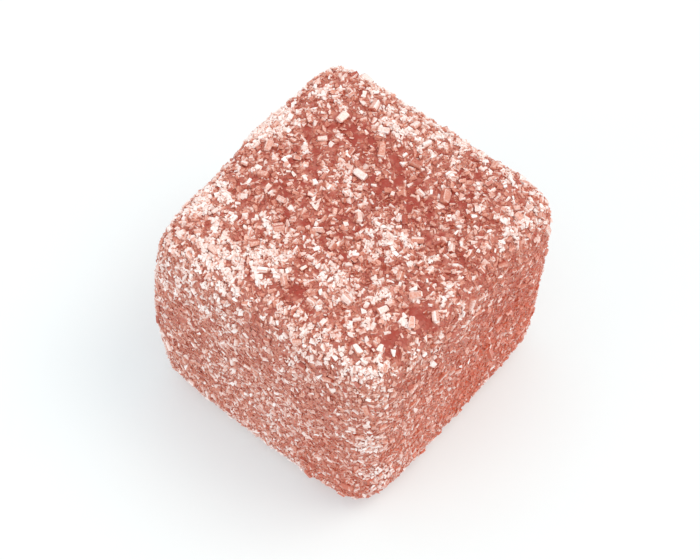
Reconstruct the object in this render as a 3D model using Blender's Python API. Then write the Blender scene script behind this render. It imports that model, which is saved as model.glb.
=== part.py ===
"""A gum cube: one moulded block of soft gel, rolled in sugar, with its coarsest crystals fused on.

Run it with: blender --background --python part.py
Metres, +Z up. The origin is the middle of the flat base. The cube's sides face X and Y.
"""

import math
import random

import bmesh
import bpy
from mathutils import Euler, Matrix, Vector
from mathutils.bvhtree import BVHTree

MM = 0.001

# The block as it leaves its mould, before its corners are pulled uneven.
WIDTH = 17.9 * MM  # along X
DEPTH = 18.2 * MM  # along Y
HEIGHT = 16.55 * MM
CAGE_CUTS = 3  # cuts along each edge of the cage; a quarter of a side then rounds over
TOP_SOFTENING = 0.8 * MM  # the cage's top edges stand in and down this far, so they round wider
SIDE_SOFTENING = 0.3 * MM  # the upright edges stand in this far
SMOOTHING_LEVELS = 2

# How far each corner of the cage stands off the plain box, in millimetres.
# The key is the corner's side along X, Y and Z. The lower corners keep the base flat.
CORNER_PULLS_MM = {
    (-1, -1, -1): (-0.10, 0.00, 0.00),
    (1, -1, -1): (-0.50, -0.20, 0.00),
    (-1, 1, -1): (0.10, -0.25, 0.00),
    (1, 1, -1): (-0.20, -0.15, 0.00),
    (-1, -1, 1): (0.20, -0.05, -0.30),
    (1, -1, 1): (0.10, 0.15, 0.10),
    (-1, 1, 1): (-0.05, 0.05, 0.20),
    (1, 1, 1): (0.50, 0.20, -0.15),
}

# The gel shrinks as it dries, so each face but the base sinks between its edges.
# The key is the way the face looks, the value its depth in millimetres.
FACE_SINKS_MM = {
    (0, 0, 1): 0.95,
    (0, -1, 0): 0.35,
    (0, 1, 0): 0.40,
    (-1, 0, 0): 0.45,
    (1, 0, 0): 0.50,
}

# Soft dents and lips: (place near the surface, reach, move), in millimetres.
SOFT_MOVES_MM = (
    ((5.6, 1.5, 16.0), 3.0, (0.0, 0.0, -0.45)),  # furrow inside the lip of the +X side
    ((8.6, -2.0, 15.0), 3.4, (0.25, 0.0, 0.30)),  # that lip
    ((2.0, 5.0, 16.0), 4.2, (0.0, 0.0, -0.35)),  # hollow towards the +Y edge of the top
    ((-3.5, -1.5, 16.0), 3.4, (0.0, 0.0, 0.40)),  # low rise on the top
    ((-8.6, 1.5, 14.8), 3.2, (-0.15, 0.0, 0.20)),  # swelling on the top's -X edge
    ((-8.6, -8.6, 7.0), 5.5, (-0.35, -0.15, 0.0)),  # swelling down the edge between -X and -Y
    ((9.0, 3.0, 7.0), 4.5, (-0.30, 0.0, 0.0)),  # the rest are shallow dents in the four sides
    ((-2.5, -8.9, 6.5), 4.0, (0.0, 0.30, 0.0)),
    ((4.0, -8.9, 11.0), 3.6, (0.0, -0.22, 0.0)),
    ((-9.0, -3.0, 9.5), 4.0, (0.32, 0.0, 0.0)),
    ((-3.0, 8.9, 10.0), 4.4, (0.0, -0.32, 0.0)),
    ((5.5, 8.8, 5.5), 3.6, (0.0, 0.22, 0.0)),
)

# The coarsest crystals of the sugar coat: blocky four-sided prisms that lie on the gel.
CRYSTAL_COUNT = 330
CRYSTAL_SPACING = 1.35 * MM  # least distance between two of their middles
CRYSTAL_LENGTH = (0.38 * MM, 0.78 * MM)  # along the gel
CRYSTAL_SKEW = 2.0  # above 1, more of them are short
CRYSTAL_BREADTH = (0.70, 0.95)  # corner to corner, as shares of the length
CRYSTAL_THICKNESS = (0.60, 0.85)
CRYSTAL_TAPER = (0.70, 0.95)  # one end's breadth as a share of the other's
CRYSTAL_SIDES = 4
CRYSTAL_TILT = math.radians(18)
CRYSTAL_STAND = (-0.20, 0.06)  # its middle's height off the gel on the sides and top, as shares of thickness
FLOOR_CLEARANCE = 1.2 * MM  # crystals' middles stay this far above the base
SUGAR_SEED = 7

GEL_COLOUR = (0.64, 0.30, 0.25, 1.0)
GEL_ROUGHNESS = 0.55


def clear_scene():
    for obj in list(bpy.data.objects):
        bpy.data.objects.remove(obj, do_unlink=True)


def sugared_gel():
    material = bpy.data.materials.new("sugared gel")
    material.use_nodes = True
    shader = material.node_tree.nodes["Principled BSDF"]
    shader.inputs["Base Color"].default_value = GEL_COLOUR
    shader.inputs["Roughness"].default_value = GEL_ROUGHNESS
    shader.inputs["Metallic"].default_value = 0.0
    return material


def face_of(unit):
    """The way the face looks that a point of the -1 to 1 cube lies inside, or None on an edge."""
    sides = tuple(round(axis) if abs(axis) > 0.99 else 0 for axis in unit)
    return sides if sum(map(abs, sides)) == 1 else None


def uneven_box_point(unit):
    """Where a point of the -1 to 1 cube lies in the box with the pulled corners."""
    point = Vector((unit.x * WIDTH / 2, unit.y * DEPTH / 2, (unit.z + 1) * HEIGHT / 2))
    for corner, pull in CORNER_PULLS_MM.items():
        share = 1.0
        for side, axis in zip(corner, unit):
            share *= (1 + side * axis) / 2
        point += Vector(pull) * MM * share
    return point


def edge_softening(unit):
    """How far a point on an edge of the -1 to 1 cube moves in. The edges round the base stay."""
    x, y, z = (round(axis) if abs(axis) > 0.99 else 0 for axis in unit)
    if z == 1 and (x or y):
        return -Vector((x, y, z)) * TOP_SOFTENING
    if x and y:
        return -Vector((x, y, 0)) * SIDE_SOFTENING
    return Vector()


def cage_mesh():
    """The block's cage: a cube cut into a grid, its corners uneven, edges softened and faces sunk."""
    bm = bmesh.new()
    bmesh.ops.create_cube(bm, size=2.0)
    bmesh.ops.subdivide_edges(bm, edges=bm.edges[:], cuts=CAGE_CUTS, use_grid_fill=True)
    for vert in bm.verts:
        face = face_of(vert.co)
        vert.co = uneven_box_point(vert.co) + edge_softening(vert.co)
        if face in FACE_SINKS_MM:
            vert.co -= Vector(face) * FACE_SINKS_MM[face] * MM
    mesh = bpy.data.meshes.new("gum_cube")
    bm.to_mesh(mesh)
    bm.free()
    return mesh


def apply_modifiers(obj):
    graph = bpy.context.evaluated_depsgraph_get()
    mesh = bpy.data.meshes.new_from_object(obj.evaluated_get(graph))
    obj.modifiers.clear()
    obj.data = mesh


def smooth_block():
    """The cage under a subdivision surface, which gives it its soft edges."""
    block = bpy.data.objects.new("gum_cube", cage_mesh())
    bpy.context.collection.objects.link(block)
    smoothing = block.modifiers.new("soft edges", "SUBSURF")
    smoothing.levels = SMOOTHING_LEVELS
    smoothing.render_levels = SMOOTHING_LEVELS
    apply_modifiers(block)
    return block


def soft_share(distance, reach):
    """1 at the middle of a soft move and 0 at its reach, level at both ends."""
    nearness = max(0.0, 1 - distance / reach)
    return nearness * nearness * (3 - 2 * nearness)


def move_softly(block):
    """Presses the dents and raises the lips, each round the vertex nearest its place."""
    verts = block.data.vertices
    for place, reach, move in SOFT_MOVES_MM:
        wanted = Vector(place) * MM
        nearest = min(verts, key=lambda vert: (vert.co - wanted).length)
        middle = nearest.co.copy()
        for vert in verts:
            vert.co += Vector(move) * MM * soft_share((vert.co - middle).length, reach * MM)


def surface_of(obj):
    bm = bmesh.new()
    bm.from_mesh(obj.data)
    tree = BVHTree.FromBMesh(bm)
    bm.free()
    return tree


def sugar_spots(tree, draw):
    """(point, normal) of each coarse crystal: spread evenly over every side but the base."""
    half_box = Vector((WIDTH, DEPTH, HEIGHT)) / 2
    middle = Vector((0, 0, HEIGHT / 2))
    faces = list(FACE_SINKS_MM)
    spots = []
    while len(spots) < CRYSTAL_COUNT:
        outward = Vector(draw.choice(faces))
        start = Vector(half * draw.uniform(-1, 1) for half in half_box)
        for axis in range(3):
            if outward[axis]:
                start[axis] = outward[axis] * 2 * half_box[axis]
        point, normal, _, _ = tree.ray_cast(middle + start, -outward)
        if point is None or point.z < FLOOR_CLEARANCE:
            continue
        if all((point - other).length > CRYSTAL_SPACING for other, _ in spots):
            spots.append((point, normal))
    return spots


def crystal(name, point, normal, draw):
    """One crystal: a prism with its long axis along the gel, half sunk in it or deeper on the sides."""
    shortest, longest = CRYSTAL_LENGTH
    length = shortest + (longest - shortest) * draw.random() ** CRYSTAL_SKEW
    breadth = length * draw.uniform(*CRYSTAL_BREADTH)
    thickness = length * draw.uniform(*CRYSTAL_THICKNESS)
    bm = bmesh.new()
    bmesh.ops.create_cone(
        bm,
        cap_ends=True,
        segments=CRYSTAL_SIDES,
        radius1=0.5,
        radius2=0.5 * draw.uniform(*CRYSTAL_TAPER),
        depth=1.0,
    )
    roll = Matrix.Rotation(draw.uniform(0, 2 * math.pi), 3, "Z")
    lying = Matrix.Rotation(math.radians(90), 3, "Y")
    heading = Matrix.Rotation(draw.uniform(0, 2 * math.pi), 3, "Z")
    tilts = [draw.uniform(-CRYSTAL_TILT, CRYSTAL_TILT) for _ in range(2)]
    tilt = Euler((tilts[0], tilts[1], 0)).to_matrix()
    upright = normal.to_track_quat("Z", "Y").to_matrix()
    facing = upright @ heading @ tilt
    side_stand, top_stand = CRYSTAL_STAND
    stand = side_stand + (top_stand - side_stand) * max(0.0, normal.z)
    middle = point + normal * thickness * stand
    size = Vector((length, breadth, thickness))
    for vert in bm.verts:
        vert.co = middle + facing @ (size * (lying @ roll @ vert.co))
    mesh = bpy.data.meshes.new(name)
    bm.to_mesh(mesh)
    bm.free()
    return bpy.data.objects.new(name, mesh)


def fuse_sugar(block):
    """Joins the crystals to the block as one solid."""
    draw = random.Random(SUGAR_SEED)
    crystals = bpy.data.collections.new("crystals")
    bpy.context.scene.collection.children.link(crystals)
    for number, (point, normal) in enumerate(sugar_spots(surface_of(block), draw)):
        crystals.objects.link(crystal(f"crystal_{number:03d}", point, normal, draw))
    union = block.modifiers.new("sugar", "BOOLEAN")
    union.operation = "UNION"
    union.operand_type = "COLLECTION"
    union.collection = crystals
    union.solver = "EXACT"
    apply_modifiers(block)
    for obj in list(crystals.objects):
        bpy.data.objects.remove(obj, do_unlink=True)
    bpy.data.collections.remove(crystals)


def centre_on_base(block):
    """Puts the middle of the outer box over the origin."""
    verts = block.data.vertices
    for axis in (0, 1):
        places = [vert.co[axis] for vert in verts]
        middle = (min(places) + max(places)) / 2
        for vert in verts:
            vert.co[axis] -= middle


def main():
    clear_scene()
    block = smooth_block()
    move_softly(block)
    fuse_sugar(block)
    centre_on_base(block)
    block.data.name = "gum_cube"
    block.data.materials.clear()
    block.data.materials.append(sugared_gel())


main()
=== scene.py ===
# %% [markdown]
# # A sugared gum cube
#
# A gum cube is a block of soft fruit gel, poured into a mould, set, tipped out and rolled in coarse
# sugar. It looks simple, and it is two very different things at once: a translucent red body that
# light soaks into, and thousands of small hard crystals that throw light back.
#
# The construction model gives the true size. It is loaded first and nothing here moves it. The steps
# below model the gel over again with a finer surface, lay the sugar on it grain by grain, and set up
# a plain studio.

# %% Load the construction model
import math
import random

import bpy
import numpy as np
from mathutils import Euler, Matrix, Vector
from mathutils.bvhtree import BVHTree


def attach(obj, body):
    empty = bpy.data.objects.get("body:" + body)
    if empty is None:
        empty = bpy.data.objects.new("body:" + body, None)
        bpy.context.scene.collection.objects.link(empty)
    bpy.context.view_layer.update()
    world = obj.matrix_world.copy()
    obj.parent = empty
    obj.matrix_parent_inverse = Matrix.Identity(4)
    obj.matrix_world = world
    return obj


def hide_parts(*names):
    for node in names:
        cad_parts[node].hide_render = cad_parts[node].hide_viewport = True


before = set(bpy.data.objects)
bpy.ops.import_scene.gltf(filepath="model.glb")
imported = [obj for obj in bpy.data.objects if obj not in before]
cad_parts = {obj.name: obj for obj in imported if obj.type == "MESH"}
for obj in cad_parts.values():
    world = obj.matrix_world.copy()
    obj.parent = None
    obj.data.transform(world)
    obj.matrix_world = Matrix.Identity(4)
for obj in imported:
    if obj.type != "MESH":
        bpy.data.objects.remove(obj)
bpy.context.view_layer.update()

MM = 0.001

# %% [markdown]
# ## The mould
#
# The block starts as a plain box of the mould's size. No two corners of a soft sweet agree once it
# has set, so each one is pulled a few tenths of a millimetre. Pulling the corners before the box is
# cut up keeps every face smooth, because the cuts follow the corners.

# %% The box and its corners
WIDTH = 17.9 * MM
DEPTH = 18.2 * MM
HEIGHT = 16.55 * MM

CORNER_PULLS_MM = {
    (-1, -1, -1): (-0.10, 0.00, 0.00),
    (1, -1, -1): (-0.50, -0.20, 0.00),
    (-1, 1, -1): (0.10, -0.25, 0.00),
    (1, 1, -1): (-0.20, -0.15, 0.00),
    (-1, -1, 1): (0.20, -0.05, -0.30),
    (1, -1, 1): (0.10, 0.15, 0.10),
    (-1, 1, 1): (-0.05, 0.05, 0.20),
    (1, 1, 1): (0.50, 0.20, -0.15),
}


def deselect_all():
    bpy.ops.object.select_all(action="DESELECT")


def edit_verts(piece, wanted):
    """Opens the piece in edit mode with only the vertices selected for which wanted(vert) holds."""
    bpy.context.view_layer.objects.active = piece
    bpy.ops.object.mode_set(mode="EDIT")
    bpy.ops.mesh.select_mode(type="VERT")
    bpy.ops.mesh.select_all(action="DESELECT")
    bpy.ops.object.mode_set(mode="OBJECT")
    for vert in piece.data.vertices:
        vert.select = bool(wanted(vert))
    bpy.ops.object.mode_set(mode="EDIT")


deselect_all()
bpy.ops.mesh.primitive_cube_add(size=1, scale=(WIDTH, DEPTH, HEIGHT), location=(0, 0, HEIGHT / 2))
gel = bpy.context.object
gel.name = gel.data.name = "gel_block"
bpy.ops.object.transform_apply(location=True, rotation=True, scale=True)
box_middle = Vector((0, 0, HEIGHT / 2))
for corner, pull in CORNER_PULLS_MM.items():
    edit_verts(gel, lambda vert: all(
        side * way > 0 for side, way in zip(corner, vert.co - box_middle)))
    bpy.ops.transform.translate(value=Vector(pull) * MM)
bpy.ops.object.mode_set(mode="OBJECT")
print("box, mm:", [round(side / MM, 2) for side in gel.dimensions])

# %% [markdown]
# ## Sunk faces and soft edges
#
# Gel shrinks as it dries, and a face can only shrink inwards, so each side ends up slightly hollow
# between its edges. Three cuts each way give every face nine inner points to push in. Two levels of
# subdivision surface then round the edges: the rounding spreads over the outer quarter of a face, so
# the number of cuts is what sets the radius, about 2.6 mm round the base. The top edges are rounder:
# the cage's own edges are first moved in and down, and the surface follows them in a wider curve. A
# bevel would give rounder edges but leave the faces flat.

# %% Sink the faces and round the edges
FACE_SINKS_MM = {
    (0, 0, 1): 0.95,
    (0, -1, 0): 0.35,
    (0, 1, 0): 0.40,
    (-1, 0, 0): 0.45,
    (1, 0, 0): 0.50,
}
CAGE_CUTS = 3
CAGE_LEVELS = 2
ON_FACE = 0.95  # a vertex normal this close to a face's own belongs to the face's inner points
TOP_EDGES = ((1, 0), (-1, 0), (0, 1), (0, -1))  # each one's side along X and Y
UPRIGHT_EDGES = ((1, 1), (1, -1), (-1, 1), (-1, -1))
TOP_SOFTENING = 0.8 * MM
SIDE_SOFTENING = 0.3 * MM
EDGE_ZONE = 2 * MM  # a cage point this close to a side of the box lies on it


def lies_on(point, sides):
    """Whether a point of the cage lies on all these sides of the box, 0 leaving an axis open."""
    half_box = (WIDTH / 2, DEPTH / 2, HEIGHT / 2)
    return all(
        side * way > half - EDGE_ZONE
        for side, way, half in zip(sides, point - box_middle, half_box) if side
    )


def subdivide(piece, levels):
    bpy.ops.object.modifier_add(type="SUBSURF")
    smoothing = piece.modifiers[-1]
    smoothing.levels = smoothing.render_levels = levels
    bpy.ops.object.modifier_apply(modifier=smoothing.name)


bpy.ops.object.mode_set(mode="EDIT")
bpy.ops.mesh.select_all(action="SELECT")
bpy.ops.mesh.subdivide(number_cuts=CAGE_CUTS)
bpy.ops.object.mode_set(mode="OBJECT")
for outward, sink in FACE_SINKS_MM.items():
    edit_verts(gel, lambda vert: vert.normal.dot(Vector(outward)) > ON_FACE)
    bpy.ops.transform.translate(value=-Vector(outward) * sink * MM)
    bpy.ops.object.mode_set(mode="OBJECT")
for x, y in TOP_EDGES:
    edit_verts(gel, lambda vert: lies_on(vert.co, (x, y, 1)))
    bpy.ops.transform.translate(value=-Vector((x, y, 0)) * TOP_SOFTENING)
    bpy.ops.object.mode_set(mode="OBJECT")
edit_verts(gel, lambda vert: any(lies_on(vert.co, (x, y, 1)) for x, y in TOP_EDGES))
bpy.ops.transform.translate(value=(0, 0, -TOP_SOFTENING))
bpy.ops.object.mode_set(mode="OBJECT")
for x, y in UPRIGHT_EDGES:
    edit_verts(gel, lambda vert: lies_on(vert.co, (x, y, 0)) and not lies_on(vert.co, (x, y, 1)))
    bpy.ops.transform.translate(value=-Vector((x, y, 0)) * SIDE_SOFTENING)
    bpy.ops.object.mode_set(mode="OBJECT")
subdivide(gel, CAGE_LEVELS)
print("rounded block:", len(gel.data.polygons), "faces")

# %% [markdown]
# ## Dents and lips
#
# A finger, a neighbour in the bag or the mould's own wall leaves shallow dents. Proportional editing
# is the tool for that: one vertex is moved, and its neighbours follow less and less up to a reach.

# %% Press the dents
SOFT_MOVES_MM = (
    ((5.6, 1.5, 16.0), 3.0, (0.0, 0.0, -0.45)),  # furrow inside the lip of the +X side
    ((8.6, -2.0, 15.0), 3.4, (0.25, 0.0, 0.30)),  # that lip
    ((2.0, 5.0, 16.0), 4.2, (0.0, 0.0, -0.35)),  # hollow towards the +Y edge of the top
    ((-3.5, -1.5, 16.0), 3.4, (0.0, 0.0, 0.40)),  # low rise on the top
    ((-8.6, 1.5, 14.8), 3.2, (-0.15, 0.0, 0.20)),  # swelling on the top's -X edge
    ((-8.6, -8.6, 7.0), 5.5, (-0.35, -0.15, 0.0)),  # swelling down the edge between -X and -Y
    ((9.0, 3.0, 7.0), 4.5, (-0.30, 0.0, 0.0)),  # the rest are shallow dents in the four sides
    ((-2.5, -8.9, 6.5), 4.0, (0.0, 0.30, 0.0)),
    ((4.0, -8.9, 11.0), 3.6, (0.0, -0.22, 0.0)),
    ((-9.0, -3.0, 9.5), 4.0, (0.32, 0.0, 0.0)),
    ((-3.0, 8.9, 10.0), 4.4, (0.0, -0.32, 0.0)),
    ((5.5, 8.8, 5.5), 3.6, (0.0, 0.22, 0.0)),
)

for place, reach, move in SOFT_MOVES_MM:
    wanted = Vector(place) * MM
    nearest = min(gel.data.vertices, key=lambda vert: (vert.co - wanted).length).index
    edit_verts(gel, lambda vert: vert.index == nearest)
    bpy.ops.transform.translate(
        value=Vector(move) * MM,
        use_proportional_edit=True,
        proportional_edit_falloff="SMOOTH",
        proportional_size=reach * MM,
    )
    bpy.ops.object.mode_set(mode="OBJECT")
print("dented block, mm:", [round(side / MM, 2) for side in gel.dimensions])

# %% [markdown]
# ## Five shapes of crystal
#
# Granulated sugar grows as blocky prisms, and many are chipped when the sugar is dried and sieved.
# Five unit crystals are enough, because each grain gets its own size, taper and turn. The coarsest
# are prisms with their edges worn off, the next are two chips made by cutting corners off a cube,
# and the finest plain prisms and three-sided splinters, which stay cheap by the thousand. Each is
# modelled once, one unit long on Z, and read into arrays of corners and faces.

# %% Model the unit crystals
WORN_EDGE = 0.09  # of the prism's length


def read_shape(piece):
    """The piece's corners and faces. The piece itself is then removed."""
    corners = np.array([vert.co for vert in piece.data.vertices])
    faces = [tuple(face.vertices) for face in piece.data.polygons]
    bpy.data.objects.remove(piece, do_unlink=True)
    return corners, faces


def cut_cube(cuts):
    """A block 0.8 wide and 1 long, with a corner cut off for each (point, way out) in cuts."""
    deselect_all()
    bpy.ops.mesh.primitive_cube_add(size=0.8, scale=(1, 1, 1.25))
    bpy.ops.object.transform_apply(location=True, rotation=True, scale=True)
    bpy.ops.object.mode_set(mode="EDIT")
    for point, outward in cuts:
        bpy.ops.mesh.select_all(action="SELECT")
        bpy.ops.mesh.bisect(plane_co=point, plane_no=outward, use_fill=True, clear_outer=True)
    bpy.ops.object.mode_set(mode="OBJECT")
    return read_shape(bpy.context.object)


def prism(sides, worn_edge=0):
    """A prism, 1 from corner to corner and 1 long, with its edges bevelled if asked."""
    deselect_all()
    bpy.ops.mesh.primitive_cylinder_add(vertices=sides, radius=0.5, depth=1)
    if worn_edge:
        bpy.ops.object.mode_set(mode="EDIT")
        bpy.ops.mesh.select_all(action="SELECT")
        bpy.ops.mesh.bevel(offset=worn_edge, segments=1, affect="EDGES")
        bpy.ops.object.mode_set(mode="OBJECT")
    return read_shape(bpy.context.object)


plain_prism = prism(4)
worn_prism = prism(4, WORN_EDGE)
splinter = prism(3)
chip = cut_cube([((0.25, 0.2, 0.3), (1, 0.8, 0.9)), ((-0.3, 0.1, -0.35), (-0.7, 0.3, -1))])
shard = cut_cube([((0.2, -0.2, 0.1), (1, -0.6, 0.5)), ((-0.1, 0.3, 0.25), (-0.3, 1, 0.6))])
unit_crystals = {
    "plain prism": plain_prism, "worn prism": worn_prism, "splinter": splinter,
    "chip": chip, "shard": shard,
}
for name, (corners, faces) in unit_crystals.items():
    print(name + ":", len(corners), "corners,", len(faces), "faces")

# %% [markdown]
# ## Laying crystals in arrays
#
# A grain is a few numbers: its middle, the way it faces, its three sizes, how much it tapers and how
# it is rolled about its own length. One function turns those numbers into corners for thousands of
# grains at once, and another joins them into a single mesh.
#
# A clear crystal is not one colour. Each facet shows something else: one the lamp, the next the red
# gel under it. So every facet gets a frost of its own, 0 for clear and 1 for white, which fades to
# clear where the grain sinks into the gel. The grain's own frost is real; the random spread between
# its facets is painted, white facets standing for glints of the lamp. It is stored on the corners of
# the faces, so that one material can paint them all.

# %% Place and frost the grains
# painted glints: facets of one grain differ in frost at random, the white ones standing for the lamp
FACET_FROST_AND_GLINT_SPREAD = 0.24  # how much the facets of one grain differ in frost
MELT_HEIGHT = 0.12 * MM  # a grain shows the gel's red up to about this far above it
MELT_FROST = 0.35  # the share of its frost that a grain keeps right at the gel


def grain_corners(shape, grains):
    """The corners of every grain, as an array of grains x corners x 3."""
    along = shape[None, :, 2]
    slimmed = 1 + (grains["taper"][:, None] - 1) * (along + 0.5)
    across, up = shape[None, :, 0] * slimmed, shape[None, :, 1] * slimmed
    cosine, sine = np.cos(grains["roll"])[:, None], np.sin(grains["roll"])[:, None]
    rolled = cosine * across - sine * up, sine * across + cosine * up
    lying = np.stack([np.broadcast_to(along, slimmed.shape), rolled[1], -rolled[0]], axis=2)
    sized = lying * grains["size"][:, None, :]
    return grains["middle"][:, None, :] + np.einsum("nij,nkj->nki", grains["facing"], sized)


def facet_frost_and_glints(faces, placed, grains, rng):
    """The frost and painted glints at every corner of every face, in the order a mesh keeps them."""
    facets = grains["frost"][:, None] + rng.normal(0, FACET_FROST_AND_GLINT_SPREAD, (len(placed), len(faces)))
    face_of_corner = np.repeat(np.arange(len(faces)), [len(face) for face in faces])
    offsets = placed - grains["middle"][:, None, :]
    rise = np.einsum("nki,ni->nk", offsets, grains["facing"][:, :, 2]) + grains["stand"][:, None]
    clear_of_gel = np.clip(MELT_FROST + rise / MELT_HEIGHT, MELT_FROST, 1)[:, np.concatenate(faces)]
    return (np.clip(facets, 0, 1)[:, face_of_corner] * clear_of_gel).reshape(-1)


# %% Join the grains
def join_grains(name, batches, seed):
    """One mesh of all the grains in batches of (shape, grains). None reaches below the floor."""
    rng = np.random.default_rng(seed)
    all_corners, all_faces, frost_and_glint_lists, start = [], [], [], 0
    for (corners, faces), grains in batches:
        placed = grain_corners(corners, grains)
        frost_and_glint_lists.append(facet_frost_and_glints(faces, placed, grains, rng))
        end = start + len(placed) * len(corners)
        for first in range(start, end, len(corners)):
            all_faces.extend(tuple(first + corner for corner in face) for face in faces)
        start = end
        all_corners.append(placed.reshape(-1, 3))
    places = np.concatenate(all_corners)
    places[:, 2] = np.maximum(places[:, 2], 0)
    mesh = bpy.data.meshes.new(name)
    mesh.from_pydata(places.tolist(), [], all_faces)
    # the frost attribute holds the painted glints of the facets as well as the grains' real frost
    frost = mesh.attributes.new("frost", "FLOAT", "CORNER")
    frost.data.foreach_set("value", np.concatenate(frost_and_glint_lists).astype(np.float32))
    piece = bpy.data.objects.new(name, mesh)
    bpy.context.collection.objects.link(piece)
    count = sum(len(grains["frost"]) for _, grains in batches)
    triangles = sum(len(face) - 2 for face in all_faces)
    print(name + ":", count, "grains,", triangles, "triangles")
    return piece


# %% [markdown]
# ## The coarsest crystals
#
# The construction model carries the coarsest crystals, and the same ones lie in the same places
# here. The rule: pick a side and a place on it, shoot a ray inwards, and keep the spot where it meets
# the gel unless another crystal is too close. A seeded draw makes the same picks every time.

# %% Find spots for the coarse crystals
COARSE_COUNT = 330
COARSE_SPACING = 1.35 * MM
FLOOR_CLEARANCE = 1.2 * MM
COARSE_SEED = 7


def surface_of(piece):
    return BVHTree.FromObject(piece, bpy.context.evaluated_depsgraph_get())


def coarse_spots(tree, draw):
    half_box = Vector((WIDTH, DEPTH, HEIGHT)) / 2
    faces = list(FACE_SINKS_MM)
    spots = []
    while len(spots) < COARSE_COUNT:
        outward = Vector(draw.choice(faces))
        start = Vector(half * draw.uniform(-1, 1) for half in half_box)
        for axis in range(3):
            if outward[axis]:
                start[axis] = outward[axis] * 2 * half_box[axis]
        point, normal, _, _ = tree.ray_cast(box_middle + start, -outward)
        if point is None or point.z < FLOOR_CLEARANCE:
            continue
        if all((point - other).length > COARSE_SPACING for other, _ in spots):
            spots.append((point, normal))
    return spots


draw = random.Random(COARSE_SEED)
coarse_places = coarse_spots(surface_of(gel), draw)
on_top = sum(normal.z > ON_FACE for _, normal in coarse_places)
print("coarse crystals:", len(coarse_places), "in all,", on_top, "on the flat of the top")

# %% Lay the coarse crystals
COARSE_LENGTH = (0.38 * MM, 0.78 * MM)
COARSE_SKEW = 2.0  # above 1, short crystals are the commoner
COARSE_BREADTH = (0.70, 0.95)  # of the length, as the thickness is
COARSE_THICKNESS = (0.60, 0.85)
COARSE_TAPER = (0.70, 0.95)
COARSE_TILT = math.radians(18)
COARSE_STAND = (-0.20, 0.06)  # of its thickness, on the sides and on the top


def coarse_grain(point, normal, draw):
    """One coarse crystal as (middle, facing, size, taper, roll, stand)."""
    shortest, longest = COARSE_LENGTH
    length = shortest + (longest - shortest) * draw.random() ** COARSE_SKEW
    breadth = length * draw.uniform(*COARSE_BREADTH)
    thickness = length * draw.uniform(*COARSE_THICKNESS)
    taper = draw.uniform(*COARSE_TAPER)
    roll = draw.uniform(0, 2 * math.pi)
    heading = Matrix.Rotation(draw.uniform(0, 2 * math.pi), 3, "Z")
    tilts = [draw.uniform(-COARSE_TILT, COARSE_TILT) for _ in range(2)]
    tilt = Euler((tilts[0], tilts[1], 0)).to_matrix()
    facing = normal.to_track_quat("Z", "Y").to_matrix() @ heading @ tilt
    side_stand, top_stand = COARSE_STAND
    stand = thickness * (side_stand + (top_stand - side_stand) * max(0.0, normal.z))
    return point + normal * stand, facing, (length, breadth, thickness), taper, roll, stand


rows = [coarse_grain(point, normal, draw) for point, normal in coarse_places]
keys = ("middle", "facing", "size", "taper", "roll", "stand")
coarse = dict(zip(keys, map(np.array, zip(*rows))))

# The outer box of gel and crystals together is what stands over the origin.
outer = np.concatenate([
    grain_corners(plain_prism[0], coarse).reshape(-1, 3),
    np.array([vert.co for vert in gel.data.vertices]),
])
shift = -(outer.min(axis=0) + outer.max(axis=0)) / 2
shift[2] = 0
coarse["middle"] = coarse["middle"] + shift
edit_verts(gel, lambda vert: True)
bpy.ops.transform.translate(value=shift)
bpy.ops.object.mode_set(mode="OBJECT")
print("shift to the middle, mm:", (shift / MM).round(3))
print("outer box, mm:", (np.ptp(outer, axis=0) / MM).round(2))

# %% [markdown]
# ## A finer skin for the gel
#
# The sugar lies on the gel and not in it, so the gel itself sits a little inside the outer form.
# Shrink/fatten moves every point along its own normal. Three more levels of subdivision bring the
# faces down to an eighth of a millimetre, and a Displace modifier with a fine cloud texture gives
# them the pitted look of gel that grains have pressed into.

# %% Shrink and pit the gel
GEL_INSET = 0.10 * MM
SKIN_LEVELS = 3
PIT_WIDTH = 0.45 * MM
PIT_DEPTH = 0.12 * MM

bpy.context.view_layer.objects.active = gel
edit_verts(gel, lambda vert: True)
bpy.ops.transform.shrink_fatten(value=-GEL_INSET)
bpy.ops.object.mode_set(mode="OBJECT")
subdivide(gel, SKIN_LEVELS)
pits = bpy.data.textures.new("pits in the gel", "CLOUDS")
pits.noise_scale = PIT_WIDTH
pits.noise_depth = 1
bpy.ops.object.modifier_add(type="DISPLACE")
pitting = gel.modifiers[-1]
pitting.texture = pits
pitting.texture_coords = "LOCAL"
pitting.mid_level = 0.5
pitting.strength = PIT_DEPTH
bpy.ops.object.modifier_apply(modifier=pitting.name)
bpy.ops.object.shade_smooth()
lowest_point = min(vert.co.z for vert in gel.data.vertices)
print("gel:", len(gel.data.polygons), "faces, lowest point, mm:", round(lowest_point / MM, 3))
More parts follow.
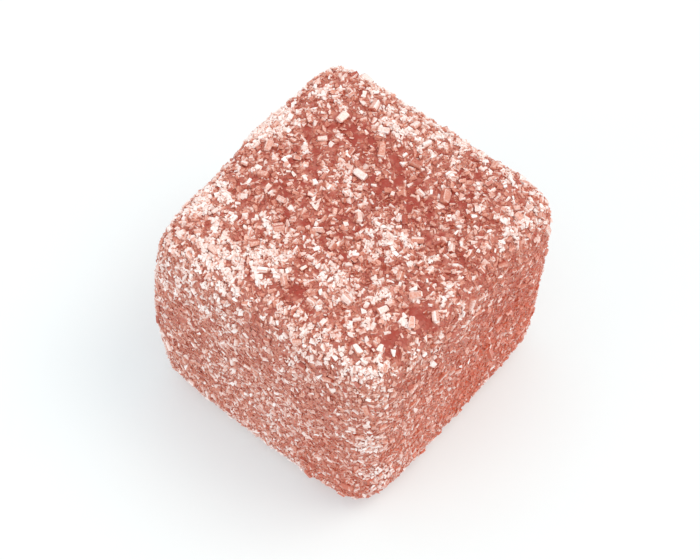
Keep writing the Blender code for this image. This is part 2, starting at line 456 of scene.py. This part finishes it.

# %% [markdown]
# ## Where the sugar drifts
#
# Sugar never coats a sweet evenly. It is knocked off the middle of a hollow, caught behind a lip and
# caked where two grains stick. The cover at a point is a base share, plus slow ripples that make
# patches of a few millimetres, plus quick ones that gather a few grains with a gap beside them, plus
# listed drifts where this cube has a bank or a bare spot.

# %% The listed drifts
# (place, reach, share added), in millimetres
DRIFTS_MM = (
    ((0.6, 3.2, 15.3), 3.8, -0.25),  # bare hollow towards the +Y edge of the top
    ((-2.8, 4.6, 15.6), 3.0, -0.06),
    ((3.9, 1.6, 15.4), 2.6, -0.18),
    ((6.8, 4.0, 15.6), 1.3, -0.18),
    ((7.3, -3.0, 15.5), 1.5, -0.55),  # red furrow inside the +X lip
    ((7.3, -5.3, 15.5), 1.4, -0.75),
    ((1.4, -6.0, 15.8), 1.4, -0.38),  # bare spot before the bank
    ((-3.8, -6.0, 15.8), 3.0, 0.16),  # bank across the -Y half of the top
    ((-1.6, -5.2, 15.8), 2.0, 0.36),
    ((2.4, -4.4, 15.8), 2.4, 0.38),
    ((4.5, -3.3, 15.8), 1.6, 0.24),
    ((-6.8, -5.2, 15.4), 3.0, 0.30),  # powder along the -X edge
    ((-5.0, -2.4, 15.8), 2.0, -0.25),  # barer spot inside it
    ((-8.0, 1.5, 15.0), 2.4, 0.95),  # white crust on the swelling of that edge
    ((-8.2, 8.0, 14.6), 3.0, 0.20),  # corner between -X and +Y
    ((1.2, 7.6, 15.6), 2.4, 0.35),  # the +Y edge of the top
    ((7.8, 5.6, 15.2), 2.2, 0.16),  # the +X edge and its two corners
    ((7.8, 8.4, 14.8), 2.0, 0.20),
    ((8.9, -2.4, 14.6), 2.4, -0.22),
    ((6.8, -8.0, 15.0), 2.4, 0.34),
    ((3.2, -9.0, 13.8), 3.4, 0.26),  # sugar over the -Y edge
    ((8.2, -8.0, 8.0), 2.4, 0.22),  # spots down the edge between +X and -Y
    ((8.0, -8.2, 4.6), 2.0, 0.26),
    # partly real sugar and partly painted light: more cover lightens the -Y side that the soft lamp
    # leaves in shade
    ((-3.5, -8.8, 12.6), 5.5, 0.24),  # paler -Y side
    ((0.0, -9.0, 3.4), 7.5, 0.26),
    # partly real and partly painted shade: less sugar makes the +X side redder and darker, standing
    # in for shade and red light from neighbouring cubes
    ((9.0, 1.0, 5.0), 8.0, -0.12),  # smoother, barer +X side
    ((9.0, 5.0, 8.5), 7.0, -0.30),
    ((8.7, -5.0, 4.0), 4.5, 0.26),  # and the sugar low on it
)

banks = sum(share > 0 for _, _, share in DRIFTS_MM)
print("drifts:", banks, "banks and", len(DRIFTS_MM) - banks, "barer places")

# %% The cover at any point
BASE_COVER = 0.62
LEAST_COVER = 0.08
PATCH_WIDTHS = (1.2 * MM, 5.0 * MM)
PATCH_COUNT = 40
PATCH_STRENGTH = 0.12
CLUMP_WIDTHS = (0.45 * MM, 0.95 * MM)
CLUMP_COUNT = 80
CLUMP_STRENGTH = 0.22
CLUMP_HEIGHTS = (9 * MM, 15 * MM)  # grains gather on the top and are rubbed even below it
CLUMPING_BELOW = 0.2  # the share of the clumping that the rubbing leaves
EDGE_WIDTH = 2.9 * MM  # edges are rolled in the sugar hardest
EDGE_COVER = 0.24


def soft_share(distance, reach):
    """1 at the middle of a drift and 0 at its reach, level at both ends."""
    nearness = np.clip(1 - distance / reach, 0, 1)
    return nearness**2 * (3 - 2 * nearness)


def ripples(points, widths, count, seed):
    """A smooth random pattern of about -1 to 1: waves of many directions laid over each other."""
    rng = np.random.default_rng(seed)
    total = np.zeros(len(points))
    for _ in range(count):
        way = rng.normal(size=3)
        way *= 2 * math.pi / rng.uniform(*widths) / np.linalg.norm(way)
        total += np.cos(points @ way + rng.uniform(0, 2 * math.pi))
    return total / math.sqrt(count)


def edge_share(points):
    """1 at an edge of the box, and 0 from EDGE_WIDTH inwards."""
    half_box = np.array([WIDTH / 2, DEPTH / 2, HEIGHT / 2])
    inside = np.sort(half_box - np.abs(points - np.array(box_middle)), axis=1)
    return np.clip(1 - inside[:, 1] / EDGE_WIDTH, 0, 1)


def sugar_cover(points):
    """How much sugar lies round each point. Near 1 it hides the gel and cakes."""
    lowest, highest = CLUMP_HEIGHTS
    height_share = (points[:, 2] - lowest) / (highest - lowest)
    clumping = CLUMP_STRENGTH * np.clip(height_share, CLUMPING_BELOW, 1)
    cover = BASE_COVER + PATCH_STRENGTH * ripples(points, PATCH_WIDTHS, PATCH_COUNT, seed=11)
    cover += clumping * ripples(points, CLUMP_WIDTHS, CLUMP_COUNT, seed=12)
    cover += EDGE_COVER * edge_share(points)
    for place, reach, share in DRIFTS_MM:
        distance = np.linalg.norm(points - np.array(place) * MM, axis=1)
        cover += share * soft_share(distance, reach * MM)
    return np.maximum(cover, LEAST_COVER)


# %% Read the skin and dust it
SIDE_FROM = 0.95  # where a normal rises less than this, the top turns into a side
SIDE_TURN = 0.8  # and it is a side altogether where the normal rises this much less
SIDE_DUST = 0.22  # the sides are rubbed, so the gel between their grains is dustier


def side_share(normals):
    """0 on the top and 1 on the sides and base."""
    return np.clip((SIDE_FROM - normals[:, 2]) / SIDE_TURN, 0, 1)


gel.data.calc_loop_triangles()
skin_points = np.array([vert.co for vert in gel.data.vertices])
skin_normals = np.array([vert.normal for vert in gel.data.vertices])
skin_triangles = np.array([triangle.vertices for triangle in gel.data.loop_triangles])
skin_areas = np.array([triangle.area for triangle in gel.data.loop_triangles])
skin_cover = sugar_cover(skin_points)
dust = gel.data.attributes.new("dust", "FLOAT", "POINT")
dust.data.foreach_set(
    "value", (skin_cover + SIDE_DUST * side_share(skin_normals)).astype(np.float32)
)
print("mean cover:", skin_cover.mean().round(2), "area, mm2:", (skin_areas.sum() / MM**2).round())

# %% [markdown]
# ## Thousands of smaller grains
#
# The smaller grains are too many for one ray each. Random triangles of the skin are drawn by area, a
# point on each is kept or dropped by the cover there, and a grain is dropped again if another already
# lies in the same little cell of space. Each then gets a random size, heading and tilt. The sides
# are rubbed by their neighbours, so their grains are finer, lie flatter and are less frosted.

# %% Find spots for the finer sugar
TRIES = 6  # triangles drawn for each grain asked for, because many are dropped


def sugar_spots(count, cell, wanted, rng, side_density=1.0):
    """Up to count points on the gel with their normals. wanted turns cover into a chance."""
    picks = rng.choice(len(skin_triangles), size=TRIES * count, p=skin_areas / skin_areas.sum())
    shares = rng.dirichlet((1, 1, 1), size=len(picks))
    points = np.einsum("nk,nkj->nj", shares, skin_points[skin_triangles[picks]])
    normals = np.einsum("nk,nkj->nj", shares, skin_normals[skin_triangles[picks]])
    chance = wanted(sugar_cover(points)) * (1 - (1 - side_density) * side_share(normals))
    kept = rng.random(len(points)) < chance
    points, normals = points[kept], normals[kept]
    _, first = np.unique(np.floor(points / cell).astype(int), axis=0, return_index=True)
    first = np.sort(first)[:count]
    return points[first], normals[first]


# %% Give the spots their grains
TOP_FROST, TOP_FROST_SPREAD = 0.54, 0.28
SIDE_FROST, SIDE_FROST_SPREAD = 0.51, 0.17
TOP_FROST_GAIN, SIDE_FROST_GAIN = 0.85, 0.80  # more frost where more sugar lies
SIDE_SIZE = 0.90  # of a grain's size on the top
SIDE_LEVELLING = 0.4  # the share of its tilt that a grain on a side loses
LENGTH_SKEW = 1.4  # above 1, short grains are the commoner
GRAIN_BREADTH = (0.60, 0.95)  # of the length, as its thickness is
GRAIN_TAPER = (0.60, 1.00)


def random_grains(spots, length, stand, tilt, rng, frosting=1.0):
    """A grain for each of the spots. length and stand are the least and the most."""
    points, normals = spots
    number, side = len(points), side_share(normals)
    leaning = tilt * (1 - SIDE_LEVELLING * side)
    up = normals + leaning[:, None] * rng.normal(size=(number, 3))
    up /= np.linalg.norm(up, axis=1)[:, None]
    ahead = np.cross(up, rng.normal(size=(number, 3)))
    ahead /= np.linalg.norm(ahead, axis=1)[:, None]
    longest = length[0] * (length[1] / length[0]) ** (rng.random(number) ** LENGTH_SKEW)
    longest *= 1 - (1 - SIDE_SIZE) * side
    away = rng.uniform(*stand, number)
    shares = np.stack([np.ones(number), *rng.uniform(*GRAIN_BREADTH, (2, number))], axis=1)
    gain = TOP_FROST_GAIN + (SIDE_FROST_GAIN - TOP_FROST_GAIN) * side
    frost = TOP_FROST + (SIDE_FROST - TOP_FROST) * side + gain * (sugar_cover(points) - BASE_COVER)
    spread = TOP_FROST_SPREAD + (SIDE_FROST_SPREAD - TOP_FROST_SPREAD) * side
    return {
        "middle": points + normals * away[:, None],
        "stand": away,
        "facing": np.stack([ahead, np.cross(up, ahead), up], axis=2),
        "size": longest[:, None] * shares,
        "taper": rng.uniform(*GRAIN_TAPER, number),
        "roll": rng.uniform(0, 2 * math.pi, number),
        "frost": np.clip(frost + rng.normal(size=number) * spread, 0, 1) * frosting,
    }


def halves(grains):
    """The same grains in two halves, one for each of two shapes."""
    return [{key: values[start::2] for key, values in grains.items()} for start in (0, 1)]


# %% Lay the finer sugar
COARSE_FROST, COARSE_FROST_SPREAD = 0.50, 0.20
MEDIUM_GATHERING = 1.3  # above 1, medium grains keep to where the sugar lies thick
FINE_REACH = 0.2  # fine grains also stick in bare places, as if the cover were this much more

rng = np.random.default_rng(21)
coarse["frost"] = np.clip(COARSE_FROST + COARSE_FROST_SPREAD * rng.normal(size=COARSE_COUNT), 0, 1)
coarse_sugar = join_grains("coarse_sugar", [(worn_prism, coarse)], seed=31)

spots = sugar_spots(
    count=9800, cell=0.22 * MM, rng=rng, side_density=0.7,
    wanted=lambda cover: np.clip(cover, 0, 1) ** MEDIUM_GATHERING,
)
medium = random_grains(
    spots, length=(0.27 * MM, 0.46 * MM), stand=(-0.06 * MM, 0.02 * MM), tilt=0.30, rng=rng)
chips, shards = halves(medium)
medium_sugar = join_grains("medium_sugar", [(chip, chips), (shard, shards)], seed=32)

spots = sugar_spots(
    count=19500, cell=0.15 * MM, rng=rng, wanted=lambda cover: np.clip(cover, 0, 1))
small = random_grains(
    spots, length=(0.19 * MM, 0.29 * MM), stand=(-0.03 * MM, 0.03 * MM), tilt=0.35, rng=rng,
    frosting=0.85)
prisms, splinters = halves(small)
small_sugar = join_grains("small_sugar", [(plain_prism, prisms), (splinter, splinters)], seed=33)

spots = sugar_spots(
    count=24000, cell=0.11 * MM, rng=rng, wanted=lambda cover: np.clip(cover + FINE_REACH, 0, 1))
fine = random_grains(
    spots, length=(0.12 * MM, 0.19 * MM), stand=(-0.01 * MM, 0.03 * MM), tilt=0.40, rng=rng,
    frosting=0.75)
fine_sugar = join_grains("fine_sugar", [(splinter, fine)], seed=34)

# %% [markdown]
# ## Caked sugar
#
# Where a damp patch picked up a second helping, the grains cake into white crusts. They are the same
# fine grains, heaped a few deep and frosted through, and they lie only where the cover is high.

# %% Heap the caked sugar
CAKE_FROM = 0.84  # the cover at which sugar starts to cake
CAKE_FULL = 1.08
CAKED_FROST, CAKED_FROST_SPREAD = 0.95, 0.15


def caking(cover):
    return np.clip((cover - CAKE_FROM) / (CAKE_FULL - CAKE_FROM), 0, 1)


spots = sugar_spots(count=40000, cell=0.11 * MM, rng=rng, side_density=0.15, wanted=caking)
caked = random_grains(
    spots, length=(0.15 * MM, 0.32 * MM), stand=(0.02 * MM, 0.13 * MM), tilt=0.60, rng=rng)
own_frost = CAKED_FROST + CAKED_FROST_SPREAD * rng.normal(size=len(caked["frost"]))
caked["frost"] = np.clip(own_frost, 0, 1)
prisms, chips = halves(caked)
caked_sugar = join_grains("caked_sugar", [(plain_prism, prisms), (chip, chips)], seed=35)

# %% [markdown]
# ## A helper for materials
#
# A shader is a small graph. One function adds a node, sets its own values and fills its sockets: a
# socket takes either a value or another node's output. Colours are written as sRGB hex, as a colour
# picker gives them, and turned to the linear values that Blender computes with.

# %% Material helpers
MIX_A, MIX_B, MIX_RESULT = 6, 7, 2  # a Mix node's colour sockets share their names with others


def linear(hex_colour):
    """The linear RGBA of an sRGB colour such as #C04A3A."""
    values = [int(hex_colour[place:place + 2], 16) / 255 for place in (1, 3, 5)]
    shares = [v / 12.92 if v <= 0.04045 else ((v + 0.055) / 1.055) ** 2.4 for v in values]
    return (*shares, 1.0)


def new_material(name):
    material = bpy.data.materials.new(name)
    material.use_nodes = True
    return material, material.node_tree.nodes["Principled BSDF"]


def add_node(material, kind, sockets=None, **settings):
    """Adds a node. sockets maps a name or number to a value or to the output that feeds it."""
    node = material.node_tree.nodes.new(kind)
    for name, value in settings.items():
        setattr(node, name, value)
    fill_sockets(material, node, sockets or {})
    return node


def fill_sockets(material, node, sockets):
    for name, value in sockets.items():
        if isinstance(value, bpy.types.NodeSocket):
            material.node_tree.links.new(value, node.inputs[name])
        else:
            node.inputs[name].default_value = value


# %% [markdown]
# ## Fruit gel
#
# The gel is pectin and sugar syrup: clear, red and soft. Light enters, is scattered by tiny bubbles
# and comes out again nearby, red reaching furthest. A short subsurface scattering does that; a long
# one would lose its light under the opaque grains. Light that passes right through the block comes
# out low on the +X side, and that glow is painted: the gel's colour turns from red to orange that
# way. Its skin is dulled by sugar dust: mottled with a powdery pink, more so where the cover is high.

# %% The painted glow low in the block
PAINTED_GLOW_WAY = (0.6, 0.2, -0.8)  # the glow grows this way
PAINTED_GLOW_SPAN = (-8 * MM, 3 * MM)  # from none to full, measured that way from the origin


def painted_low_glow(material, coords):
    """The painted glow at each point, for the light that gathers there, as the output of a node."""
    along = add_node(material, "ShaderNodeVectorMath", {
        0: coords.outputs["Object"], 1: PAINTED_GLOW_WAY}, operation="DOT_PRODUCT")
    least, most = PAINTED_GLOW_SPAN
    glow = add_node(material, "ShaderNodeMapRange", {
        "Value": along.outputs["Value"], "From Min": least, "From Max": most})
    return glow.outputs["Result"]


# %% Gel material
GEL_DEEP = "#A94230"
# painted glow: the orange that stands for light coming through the gel low on the +X side
GEL_PAINTED_GLOW = "#CC5B3E"
GEL_POWDER = "#CE8270"
GEL_ROUGHNESS = (0.38, 0.75)  # wiped clean and powdered
MOTTLE_WIDTH = 0.30 * MM
MOTTLE_BUMP = 0.05 * MM
POWDER_FROM = 0.82  # powder starts where the mottling and the dust add up to this
POWDER_SPAN = 0.5  # and hides the gel where they add up to this much more
GEL_IOR = 1.45
GEL_SCATTER = 0.6 * MM  # how far red light travels in the gel
SCATTER_SHARES = (1.0, 0.22, 0.12)  # of that, for red, green and blue light

gel_finish, shader = new_material("sugar-dulled fruit gel")
coords = add_node(gel_finish, "ShaderNodeTexCoord")
mottle = add_node(gel_finish, "ShaderNodeTexNoise", {
    "Vector": coords.outputs["Object"], "Scale": 1 / MOTTLE_WIDTH, "Detail": 2.0, "Roughness": 0.6})
dust_here = add_node(gel_finish, "ShaderNodeAttribute", attribute_name="dust")
threshold = add_node(gel_finish, "ShaderNodeMath", {
    0: POWDER_FROM, 1: dust_here.outputs["Fac"]}, operation="SUBTRACT")
excess = add_node(gel_finish, "ShaderNodeMath", {
    0: mottle.outputs["Fac"], 1: threshold.outputs["Value"]}, operation="SUBTRACT")
powder = add_node(gel_finish, "ShaderNodeMapRange", {
    "Value": excess.outputs["Value"], "From Min": 0.0, "From Max": POWDER_SPAN})
# the gel's own red, with the painted glow mixed in low on the +X side
clear_colour_and_painted_glow = add_node(gel_finish, "ShaderNodeMix", {
    "Factor": painted_low_glow(gel_finish, coords),
    MIX_A: linear(GEL_DEEP), MIX_B: linear(GEL_PAINTED_GLOW)}, data_type="RGBA")
gel_colour = add_node(gel_finish, "ShaderNodeMix", {
    "Factor": powder.outputs["Result"],
    MIX_A: clear_colour_and_painted_glow.outputs[MIX_RESULT], MIX_B: linear(GEL_POWDER)}, data_type="RGBA")
roughness = add_node(gel_finish, "ShaderNodeMapRange", {
    "Value": powder.outputs["Result"], "To Min": GEL_ROUGHNESS[0], "To Max": GEL_ROUGHNESS[1]})
bump = add_node(gel_finish, "ShaderNodeBump", {
    "Height": mottle.outputs["Fac"], "Strength": 0.6, "Distance": MOTTLE_BUMP})
fill_sockets(gel_finish, shader, {
    "Base Color": gel_colour.outputs[MIX_RESULT],
    "Roughness": roughness.outputs["Result"],
    "Normal": bump.outputs["Normal"],
    "IOR": GEL_IOR,
    "Subsurface Weight": 0.35,
    "Subsurface Radius": SCATTER_SHARES,
    "Subsurface Scale": GEL_SCATTER,
})
gel.data.materials.append(gel_finish)
print(gel_finish.name + ":", len(gel_finish.node_tree.nodes), "nodes")

# %% [markdown]
# ## Sugar crystals
#
# Sugar is clear, and a clear facet on red gel shows the gel's red. Where a crystal is scratched or
# full of cracks it scatters light and turns white. So the colour runs from the gel's own red, through
# pink, to white with the frost, and the frost's spread from facet to facet paints glints. Low on the
# +X side a clear crystal also takes on the gel's painted glow. Real refraction would cost a hundred
# times the light paths and come out dark, because every grain lies in its neighbours' way. Clean
# facets are smooth and glint, and frosted ones are duller. Fine cracks, about 0.1 mm apart, break up
# the larger facets.

# %% Sugar material
SUGAR_COLOURS = {0.0: "#B0513D", 0.35: "#D9927B", 0.7: "#F2D6CB", 1.0: "#FDF3EE"}
# painted glow: a clear crystal's orange where the gel's painted glow shows through it
SUGAR_PAINTED_GLOW = "#D06548"  # a clear crystal's colour where the gel glows
SUGAR_ROUGHNESS = (0.12, 0.40)  # clear and frosted
SUGAR_IOR = 1.54
CRACK_SPACING = 0.10 * MM
CRACK_NOISE = (0.3, 0.7)  # the part of the noise that the cracks are read from
CRACK_FROST = 0.12  # the most frost that they add or take away

sugar_finish, shader = new_material("granulated sugar")
coords = add_node(sugar_finish, "ShaderNodeTexCoord")
cracks = add_node(sugar_finish, "ShaderNodeTexNoise", {
    "Vector": coords.outputs["Object"], "Scale": 1 / CRACK_SPACING, "Detail": 1.0, "Roughness": 0.5})
crack_frost = add_node(sugar_finish, "ShaderNodeMapRange", {
    "Value": cracks.outputs["Fac"], "From Min": CRACK_NOISE[0], "From Max": CRACK_NOISE[1],
    "To Min": -CRACK_FROST, "To Max": CRACK_FROST})
# the frost on each facet includes its painted glints
frost_and_glints_here = add_node(sugar_finish, "ShaderNodeAttribute", attribute_name="frost")
frost = add_node(sugar_finish, "ShaderNodeMath", {
    0: frost_and_glints_here.outputs["Fac"], 1: crack_frost.outputs["Result"]}, operation="ADD", use_clamp=True)
sugar_colour = add_node(sugar_finish, "ShaderNodeValToRGB", {"Fac": frost.outputs["Value"]})
stops = sugar_colour.color_ramp.elements
while len(stops) < len(SUGAR_COLOURS):
    stops.new(0.5)  # its own position follows
for stop, (position, hex_colour) in zip(stops, sorted(SUGAR_COLOURS.items())):
    stop.position = position
    stop.color = linear(hex_colour)
clearness = add_node(sugar_finish, "ShaderNodeMath", {
    0: 1.0, 1: frost.outputs["Value"]}, operation="SUBTRACT")
# clear crystals take on the painted glow low on the +X side
painted_glow_seen = add_node(sugar_finish, "ShaderNodeMath", {
    0: clearness.outputs["Value"], 1: painted_low_glow(sugar_finish, coords)}, operation="MULTIPLY")
sugar_colour_painted_glow = add_node(sugar_finish, "ShaderNodeMix", {
    "Factor": painted_glow_seen.outputs["Value"],
    MIX_A: sugar_colour.outputs["Color"], MIX_B: linear(SUGAR_PAINTED_GLOW)}, data_type="RGBA")
sugar_roughness = add_node(sugar_finish, "ShaderNodeMapRange", {
    "Value": frost.outputs["Value"], "To Min": SUGAR_ROUGHNESS[0], "To Max": SUGAR_ROUGHNESS[1]})
fill_sockets(sugar_finish, shader, {
    "Base Color": sugar_colour_painted_glow.outputs[MIX_RESULT],
    "Roughness": sugar_roughness.outputs["Result"],
    "IOR": SUGAR_IOR,
})
print(sugar_finish.name + ":", len(sugar_finish.node_tree.nodes), "nodes")

# %% [markdown]
# ## What carries each piece
#
# A gum cube is rigid enough to be one body, the root, so every piece rides on it. The gel stands in
# for the construction model's cube, and each piece gets its finish.

# %% Give each piece its body and slot
for piece in (coarse_sugar, medium_sugar, small_sugar, fine_sugar, caked_sugar):
    piece.data.materials.append(sugar_finish)
    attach(piece, "root")
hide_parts("gum_cube")
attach(gel, "root")

# %% [markdown]
# ## Studio
#
# A white floor under a pale sky lights the cube from all sides, as a light tent does, so no side goes
# dark. The floor is milky acrylic lit a little from below, which keeps it white and its shadow free
# of the cube's red. One large soft lamp, high behind the right, lays the shadow to the left, and a
# weaker one, low on the left, stands for the white card that is often held there. The sky is a
# touch cool and the lamp a touch warm, so that light and shade differ in colour as well.

# %% Floor
FLOOR_SIZE = 4.0
FLOOR_COLOUR = "#CDD3D3"
FLOOR_GLOW = 0.28

deselect_all()
bpy.ops.mesh.primitive_plane_add(size=FLOOR_SIZE)
floor = bpy.context.object
floor.name = "floor"
floor_finish, shader = new_material("lit white acrylic")
fill_sockets(floor_finish, shader, {
    "Base Color": linear(FLOOR_COLOUR),
    "Roughness": 0.9,
    "Specular IOR Level": 0.2,
    "Emission Color": linear("#FFFFFF"),
    "Emission Strength": FLOOR_GLOW,
})
floor.data.materials.append(floor_finish)
print("floor, m:", list(floor.dimensions))

# %% Sky and lamps
SKY_COLOUR = "#F4FAFF"
SKY_STRENGTH = 0.98
LAMP_DISTANCE = 0.6
LAMP_SIZE = 0.30
LAMPS = {  # name: (way to the lamp, watts, colour)
    "soft lamp": ((0.36, 0.30, 0.88), 1.25, "#FFF0E2"),
    "reflecting card": ((-0.35, -0.94, 0.36), 0.50, "#FFFFFF"),
}

scene = bpy.context.scene
scene.view_settings.view_transform = "Standard"
world = bpy.data.worlds.new("light tent")
scene.world = world
world.use_nodes = True
sky = world.node_tree.nodes["Background"]
sky.inputs["Color"].default_value = linear(SKY_COLOUR)
sky.inputs["Strength"].default_value = SKY_STRENGTH

for name, (way, watts, hex_colour) in LAMPS.items():
    way = Vector(way).normalized()
    lamp = bpy.data.objects.new(name, bpy.data.lights.new(name, "AREA"))
    scene.collection.objects.link(lamp)
    lamp.data.size = LAMP_SIZE
    lamp.data.energy = watts
    lamp.data.color = linear(hex_colour)[:3]
    lamp.location = way * LAMP_DISTANCE
    lamp.rotation_euler = way.to_track_quat("Z", "Y").to_euler()
    print(name + ", mm:", [round(place / MM) for place in lamp.location])

# %% [markdown]
# ## Camera
#
# The cube is seen from close by and well above, over its near edge: 57 degrees above the floor and
# 39 degrees round from the front. The distance sets the perspective, and the lens how large the cube
# stands in the frame.

# %% Camera
VIEW_AZIMUTH = math.radians(39)
VIEW_ELEVATION = math.radians(57)
VIEW_DISTANCE = 114 * MM
LENS = 100  # this and the sensor's width are in millimetres, as on a real camera
SENSOR_WIDTH = 36

aim = Vector((0, 0, HEIGHT / 2))
back = Vector((
    math.sin(VIEW_AZIMUTH) * math.cos(VIEW_ELEVATION),
    -math.cos(VIEW_AZIMUTH) * math.cos(VIEW_ELEVATION),
    math.sin(VIEW_ELEVATION),
))
camera = bpy.data.objects.new("camera", bpy.data.cameras.new("camera"))
scene.collection.objects.link(camera)
camera.location = aim + back * VIEW_DISTANCE
camera.rotation_euler = back.to_track_quat("Z", "Y").to_euler()
camera.data.lens = LENS
camera.data.sensor_width = SENSOR_WIDTH
camera.data.clip_start = 5 * MM
scene.camera = camera
print("camera, mm:", [round(place / MM, 1) for place in camera.location])
